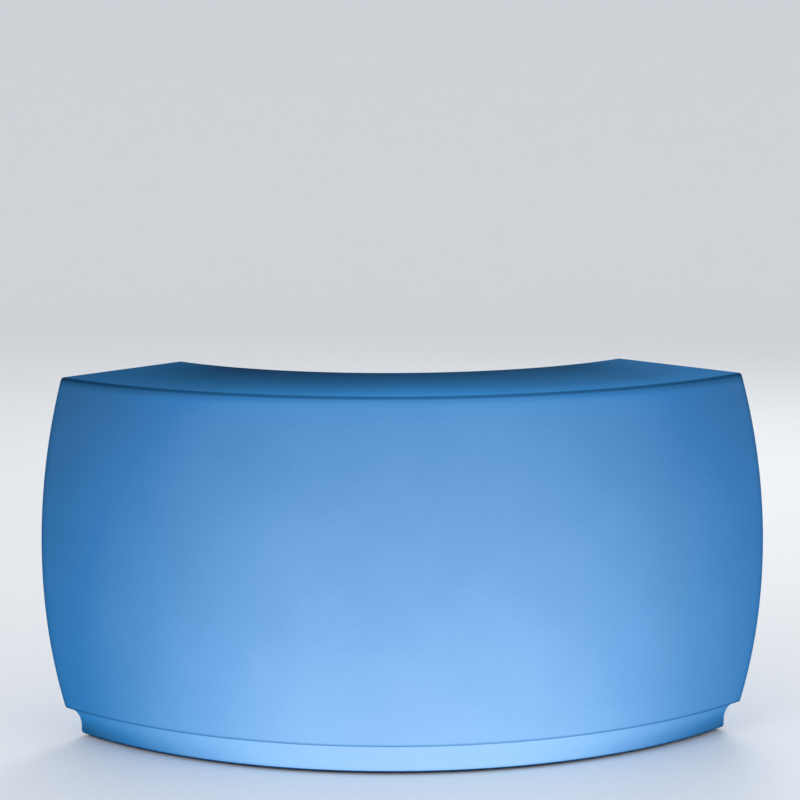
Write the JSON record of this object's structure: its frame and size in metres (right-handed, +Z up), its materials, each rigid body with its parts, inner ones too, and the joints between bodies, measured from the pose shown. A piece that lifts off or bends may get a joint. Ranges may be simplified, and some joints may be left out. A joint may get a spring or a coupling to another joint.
{
  "type": "illuminated corner bar counter",
  "caption": "Quarter-ring corner bar counter with a translucent glowing moulded shell, bulging front, coved plinth, flat top, shelved service niche and levelling feet.",
  "frame": {"origin": "on the floor, at the middle of the bounding box", "axes": "+X to the right-hand end as guests see it, +Y to the service side, +Z up"},
  "size_m": [2.143, 0.8379, 1.108],
  "materials": {
    "glow_shell": "satin translucent moulded plastic, lit from inside",
    "liner_plastic": "satin moulded plastic",
    "laminate": "matte compact laminate",
    "stainless": "brushed",
    "seal_rubber": "matte",
    "hatch_plastic": "satin moulded plastic",
    "tray_metal": "folded sheet, satin",
    "board": "satin solder mask",
    "led": "clear",
    "frosted_cover": "frosted",
    "dark_plastic": "fine grain",
    "lead_sleeve": "satin sleeve",
    "polished_steel": "polished",
    "brass": "machined",
    "foot_nylon": "matte",
    "zinc_steel": "zinc plated"
  },
  "bodies": {
    "counter": {"antenna": "dark_plastic", "body_shell": "glow_shell", "breather_vent": "dark_plastic", "controller": "dark_plastic", "drive_lead": "lead_sleeve", "foot_inserts": "brass", "gear_plate": "tray_metal", "gear_screws": "stainless", "hatch_cover": "hatch_plastic", "hatch_screws": "stainless", "hatch_seal": "seal_rubber", "inlet_cap_pin": "stainless", "inlet_housing": "dark_plastic", "inlet_pins": "brass", "inlet_screws": "stainless", "inlet_seal": "seal_rubber", "lead_clips": "dark_plastic", "led_boards": "board", "led_chips": "led", "led_covers": "frosted_cover", "led_leads": "lead_sleeve", "light_tray_centre": "tray_metal", "light_tray_left": "tray_metal", "light_tray_right": "tray_metal", "liner_screws": "stainless", "liner_seal": "seal_rubber", "link_inserts": "brass", "lower_shelf": "laminate", "lower_shelf_rails": "stainless", "power_supply": "tray_metal", "rail_nuts": "stainless", "rail_screws": "stainless", "service_liner": "liner_plastic", "shelf_screws": "stainless", "supply_lead": "lead_sleeve", "switch_housing": "polished_steel", "switch_lead": "lead_sleeve", "switch_nut": "stainless", "switch_seal": "seal_rubber", "tray_screws": "stainless", "work_shelf": "laminate", "work_shelf_rails": "stainless"},
    "button": {"switch_button": "polished_steel"},
    "socket_cap": {"inlet_cap": "dark_plastic"},
    "pad_rear_left": {"foot_pad_rear_left": "foot_nylon"},
    "stud_rear_left": {"foot_stud_rear_left": "zinc_steel"},
    "pad_rear_right": {"foot_pad_rear_right": "foot_nylon"},
    "stud_rear_right": {"foot_stud_rear_right": "zinc_steel"},
    "pad_side_left": {"foot_pad_side_left": "foot_nylon"},
    "stud_side_left": {"foot_stud_side_left": "zinc_steel"},
    "pad_side_right": {"foot_pad_side_right": "foot_nylon"},
    "stud_side_right": {"foot_stud_side_right": "zinc_steel"},
    "pad_front_left": {"foot_pad_front_left": "foot_nylon"},
    "stud_front_left": {"foot_stud_front_left": "zinc_steel"},
    "pad_front_right": {"foot_pad_front_right": "foot_nylon"},
    "stud_front_right": {"foot_stud_front_right": "zinc_steel"}
  },
  "joints": [
    {"name": "button_press", "type": "slide", "parent": "counter", "child": "button", "axis": [0.6717, -0.7408, 0], "range_m": [0, 0.002], "stiffness_N_per_m": 800, "springref_m": -0.001},
    {"name": "socket_cap_hinge", "type": "hinge", "parent": "counter", "child": "socket_cap", "pos_m": [-0.23094, 0.17482, 0.07915], "axis": [0.9703, -0.2419, 0], "range_deg": [0, 110]},
    {"name": "foot_lift_rear_left", "type": "slide", "parent": "counter", "child": "pad_rear_left", "axis": [0, 0, -1], "range_m": [0, 0.012]},
    {"name": "foot_screw_rear_left", "type": "hinge", "parent": "pad_rear_left", "child": "stud_rear_left", "pos_m": [-0.61689, 0.31148, 0], "axis": [0, 0, -1], "range_deg": [0, 2880]},
    {"name": "foot_lift_rear_right", "type": "slide", "parent": "counter", "child": "pad_rear_right", "axis": [0, 0, -1], "range_m": [0, 0.012]},
    {"name": "foot_screw_rear_right", "type": "hinge", "parent": "pad_rear_right", "child": "stud_rear_right", "pos_m": [0.61689, 0.31148, 0], "axis": [0, 0, -1], "range_deg": [0, 2880]},
    {"name": "foot_lift_side_left", "type": "slide", "parent": "counter", "child": "pad_side_left", "axis": [0, 0, -1], "range_m": [0, 0.012]},
    {"name": "foot_screw_side_left", "type": "hinge", "parent": "pad_side_left", "child": "stud_side_left", "pos_m": [-0.78881, 0.01537, 0], "axis": [0, 0, -1], "range_deg": [0, 2880]},
    {"name": "foot_lift_side_right", "type": "slide", "parent": "counter", "child": "pad_side_right", "axis": [0, 0, -1], "range_m": [0, 0.012]},
    {"name": "foot_screw_side_right", "type": "hinge", "parent": "pad_side_right", "child": "stud_side_right", "pos_m": [0.78881, 0.01537, 0], "axis": [0, 0, -1], "range_deg": [0, 2880]},
    {"name": "foot_lift_front_left", "type": "slide", "parent": "counter", "child": "pad_front_left", "axis": [0, 0, -1], "range_m": [0, 0.012]},
    {"name": "foot_screw_front_left", "type": "hinge", "parent": "pad_front_left", "child": "stud_front_left", "pos_m": [-0.20994, -0.22441, 0], "axis": [0, 0, -1], "range_deg": [0, 2880]},
    {"name": "foot_lift_front_right", "type": "slide", "parent": "counter", "child": "pad_front_right", "axis": [0, 0, -1], "range_m": [0, 0.012]},
    {"name": "foot_screw_front_right", "type": "hinge", "parent": "pad_front_right", "child": "stud_front_right", "pos_m": [0.20994, -0.22441, 0], "axis": [0, 0, -1], "range_deg": [0, 2880]}
  ],
  "couplings": [
    {"joint": "foot_screw_rear_left", "follows": "foot_lift_rear_left", "rad_per_m": 4188.8},
    {"joint": "foot_screw_rear_right", "follows": "foot_lift_rear_right", "rad_per_m": 4188.8},
    {"joint": "foot_screw_side_left", "follows": "foot_lift_side_left", "rad_per_m": 4188.8},
    {"joint": "foot_screw_side_right", "follows": "foot_lift_side_right", "rad_per_m": 4188.8},
    {"joint": "foot_screw_front_left", "follows": "foot_lift_front_left", "rad_per_m": 4188.8},
    {"joint": "foot_screw_front_right", "follows": "foot_lift_front_right", "rad_per_m": 4188.8}
  ]
}
